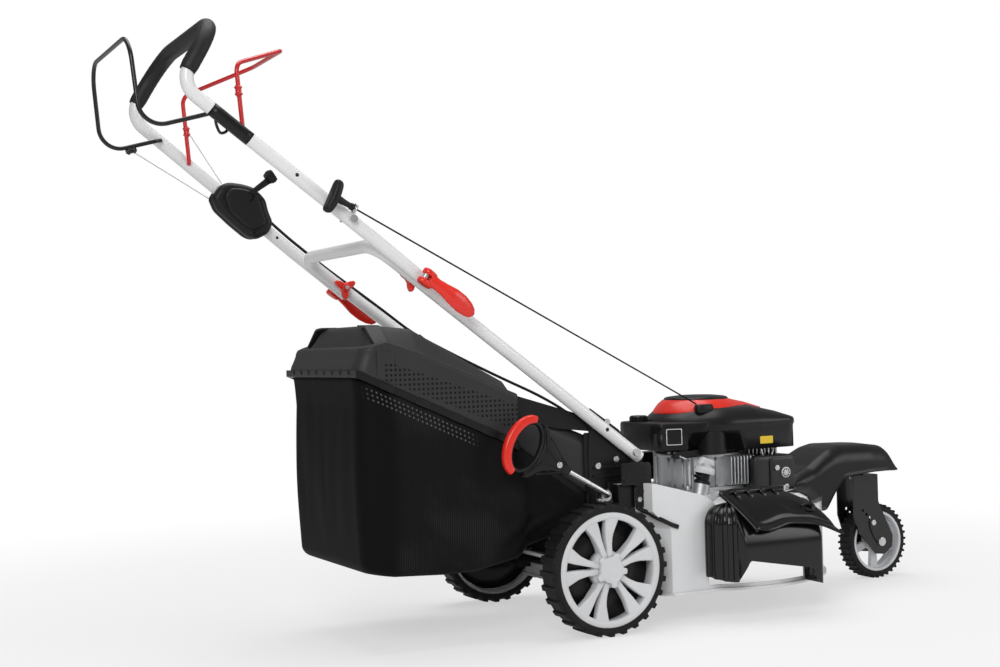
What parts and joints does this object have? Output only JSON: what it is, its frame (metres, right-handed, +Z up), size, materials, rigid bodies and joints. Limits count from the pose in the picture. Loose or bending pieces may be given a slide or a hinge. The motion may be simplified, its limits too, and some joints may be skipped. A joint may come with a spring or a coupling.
{
  "type": "push lawn mower",
  "caption": "Walk-behind petrol lawn mower with rear grass bag, folding handle, side deflector, big rear wheels and a single front caster.",
  "frame": {"origin": "on the ground, under the rear axle, on the mower's middle plane", "axes": "+X forward to the caster, +Y to the operator's left, +Z up"},
  "size_m": [1.8212, 0.608, 1.1545],
  "materials": {
    "deck_paint": "gloss",
    "black_paint": "satin",
    "silver_paint": "satin",
    "red_paint": "satin",
    "black_plastic": "fine texture",
    "gloss_black": "gloss",
    "grey_plastic": "fine texture",
    "light_plastic": "satin",
    "red_plastic": "gloss",
    "zinc_steel": "zinc plated",
    "dark_steel": "dark",
    "cast_aluminium": "as cast",
    "foam": "foam",
    "tyre": "rubber",
    "belt_rubber": "rubber",
    "cable_rubber": "smooth",
    "rope": "braided",
    "bag_mesh": "woven mesh"
  },
  "bodies": {
    "chassis": {"deck_shell": "deck_paint", "discharge_tunnel": "black_plastic", "side_brackets": "black_paint", "lower_handle": "deck_paint", "front_fender": "black_plastic", "engine_block": "cast_aluminium", "engine_cover": "gloss_black", "cover_trim": "red_plastic", "recoil_cap": "gloss_black", "fuel_tank": "black_plastic", "carburettor": "cast_aluminium", "air_filter": "black_plastic", "muffler": "dark_steel", "spark_plug": "zinc_steel", "oil_filler_neck": "black_plastic", "side_chute": "gloss_black", "drive_belt": "belt_rubber", "chassis_fasteners": "zinc_steel", "cable_clip": "black_plastic", "control_cables": "cable_rubber", "starter_rope": "rope"},
    "crank": {"crankshaft": "zinc_steel", "flywheel": "cast_aluminium", "blade": "dark_steel", "blade_adapter": "zinc_steel", "blade_bolt": "zinc_steel"},
    "oil_cap": {"oil_cap": "grey_plastic"},
    "fuel_cap": {"fuel_cap": "black_plastic"},
    "side_flap": {"side_flap": "black_plastic"},
    "rear_flap": {"rear_flap": "black_plastic"},
    "height_adjuster": {"height_frame": "black_paint", "height_lever": "zinc_steel", "height_grip": "red_plastic", "rear_axle": "zinc_steel", "gearbox": "cast_aluminium"},
    "rear_wheel_left": {"rear_tyre_left": "tyre", "rear_rim_left": "light_plastic"},
    "rear_wheel_right": {"rear_tyre_right": "tyre", "rear_rim_right": "light_plastic"},
    "caster": {"caster_fork": "black_paint", "caster_bolts": "zinc_steel"},
    "caster_wheel": {"caster_rim": "silver_paint", "caster_tyre": "tyre"},
    "grass_bag": {"bag_lid": "black_plastic", "bag_frame": "black_plastic", "bag_fabric": "bag_mesh"},
    "upper_handle": {"upper_handle": "deck_paint", "foam_grip": "foam", "control_box": "black_plastic", "cam_bolts": "zinc_steel", "rope_guide": "zinc_steel", "bail_wires": "zinc_steel"},
    "brake_bail": {"brake_bail": "black_paint"},
    "drive_bail": {"drive_bail": "red_paint"},
    "control_lever": {"control_lever": "black_plastic"},
    "starter_grip": {"starter_grip": "black_plastic"},
    "cam_lever_left": {"cam_lever_left": "red_plastic"},
    "cam_lever_right": {"cam_lever_right": "red_plastic"},
    "star_nut_left": {"star_nut_left": "red_plastic"},
    "star_nut_right": {"star_nut_right": "red_plastic"}
  },
  "joints": [
    {"name": "handle_fold", "type": "hinge", "parent": "chassis", "child": "upper_handle", "pos_m": [-0.355, 0, 0.688], "axis": [0, 1, 0], "range_deg": [0, 140], "deforming": ["control_cables", "starter_rope"]},
    {"name": "brake_bail_pull", "type": "hinge", "parent": "upper_handle", "child": "brake_bail", "pos_m": [-0.72615, 0, 0.97798], "axis": [0, 1, 0], "range_deg": [0, 38], "stiffness_Nm_per_rad": 1.5, "springref_deg": -17.19, "deforming": ["bail_wires"]},
    {"name": "drive_bail_pull", "type": "hinge", "parent": "upper_handle", "child": "drive_bail", "pos_m": [-0.67099, 0, 0.93488], "axis": [0, 1, 0], "range_deg": [-33, 0], "stiffness_Nm_per_rad": 1.5, "springref_deg": 17.19, "deforming": ["bail_wires"]},
    {"name": "control_lever_turn", "type": "hinge", "parent": "upper_handle", "child": "control_lever", "pos_m": [-0.54807, 0.17527, 0.88515], "axis": [0, 1, 0], "range_deg": [-25, 25]},
    {"name": "starter_pull", "type": "slide", "parent": "upper_handle", "child": "starter_grip", "axis": [-0.8932, -0.1696, 0.4164], "range_m": [0, 0.55], "stiffness_N_per_m": 10, "springref_m": -0.2},
    {"name": "crank_spin", "type": "hinge", "parent": "chassis", "child": "crank", "pos_m": [0.388, 0, 0.2], "axis": [0, 0, 1], "continuous": true},
    {"name": "oil_cap_twist", "type": "hinge", "parent": "chassis", "child": "oil_cap", "pos_m": [0.326, -0.104, 0.258], "axis": [0.2588, 0, 0.9659], "range_deg": [0, 90]},
    {"name": "fuel_cap_twist", "type": "hinge", "parent": "chassis", "child": "fuel_cap", "pos_m": [0.264, 0.038, 0.39], "axis": [0, 0, 1], "range_deg": [0, 90]},
    {"name": "height_adjust", "type": "hinge", "parent": "chassis", "child": "height_adjuster", "pos_m": [0.045, 0, 0.1], "axis": [0, 1, 0], "range_deg": [-18, 18], "deforming": ["drive_belt"]},
    {"name": "rear_wheel_left_spin", "type": "hinge", "parent": "height_adjuster", "child": "rear_wheel_left", "pos_m": [0, 0.2417, 0.127], "axis": [0, 1, 0], "continuous": true},
    {"name": "rear_wheel_right_spin", "type": "hinge", "parent": "height_adjuster", "child": "rear_wheel_right", "pos_m": [0, -0.2417, 0.127], "axis": [0, 1, 0], "continuous": true},
    {"name": "caster_swivel", "type": "hinge", "parent": "chassis", "child": "caster", "pos_m": [0.823, 0, 0.26], "axis": [0, 0, 1], "continuous": true},
    {"name": "caster_wheel_spin", "type": "hinge", "parent": "caster", "child": "caster_wheel", "pos_m": [0.8695, 0, 0.0855], "axis": [0, 1, 0], "continuous": true},
    {"name": "rear_flap_lift", "type": "hinge", "parent": "chassis", "child": "rear_flap", "pos_m": [0.038, 0, 0.404], "axis": [0, 1, 0], "range_deg": [0, 52]},
    {"name": "side_flap_lift", "type": "hinge", "parent": "chassis", "child": "side_flap", "pos_m": [0.35, -0.238, 0.252], "axis": [-1, 0, 0], "range_deg": [0, 60]},
    {"name": "grass_bag_off", "type": "slide", "parent": "chassis", "child": "grass_bag", "axis": [-1, 0, 0], "range_m": [0, 0.15]},
    {"name": "cam_lever_left_flip", "type": "hinge", "parent": "upper_handle", "child": "cam_lever_left", "pos_m": [-0.355, 0.2346, 0.688], "axis": [0.6004, 0, 0.7997], "range_deg": [0, 110]},
    {"name": "star_nut_left_turn", "type": "hinge", "parent": "upper_handle", "child": "star_nut_left", "pos_m": [-0.355, 0.168, 0.688], "axis": [0, 1, 0], "continuous": true},
    {"name": "cam_lever_right_flip", "type": "hinge", "parent": "upper_handle", "child": "cam_lever_right", "pos_m": [-0.355, -0.2346, 0.688], "axis": [-0.6004, 0, -0.7997], "range_deg": [0, 110]},
    {"name": "star_nut_right_turn", "type": "hinge", "parent": "upper_handle", "child": "star_nut_right", "pos_m": [-0.355, -0.168, 0.688], "axis": [0, 1, 0], "continuous": true}
  ]
}
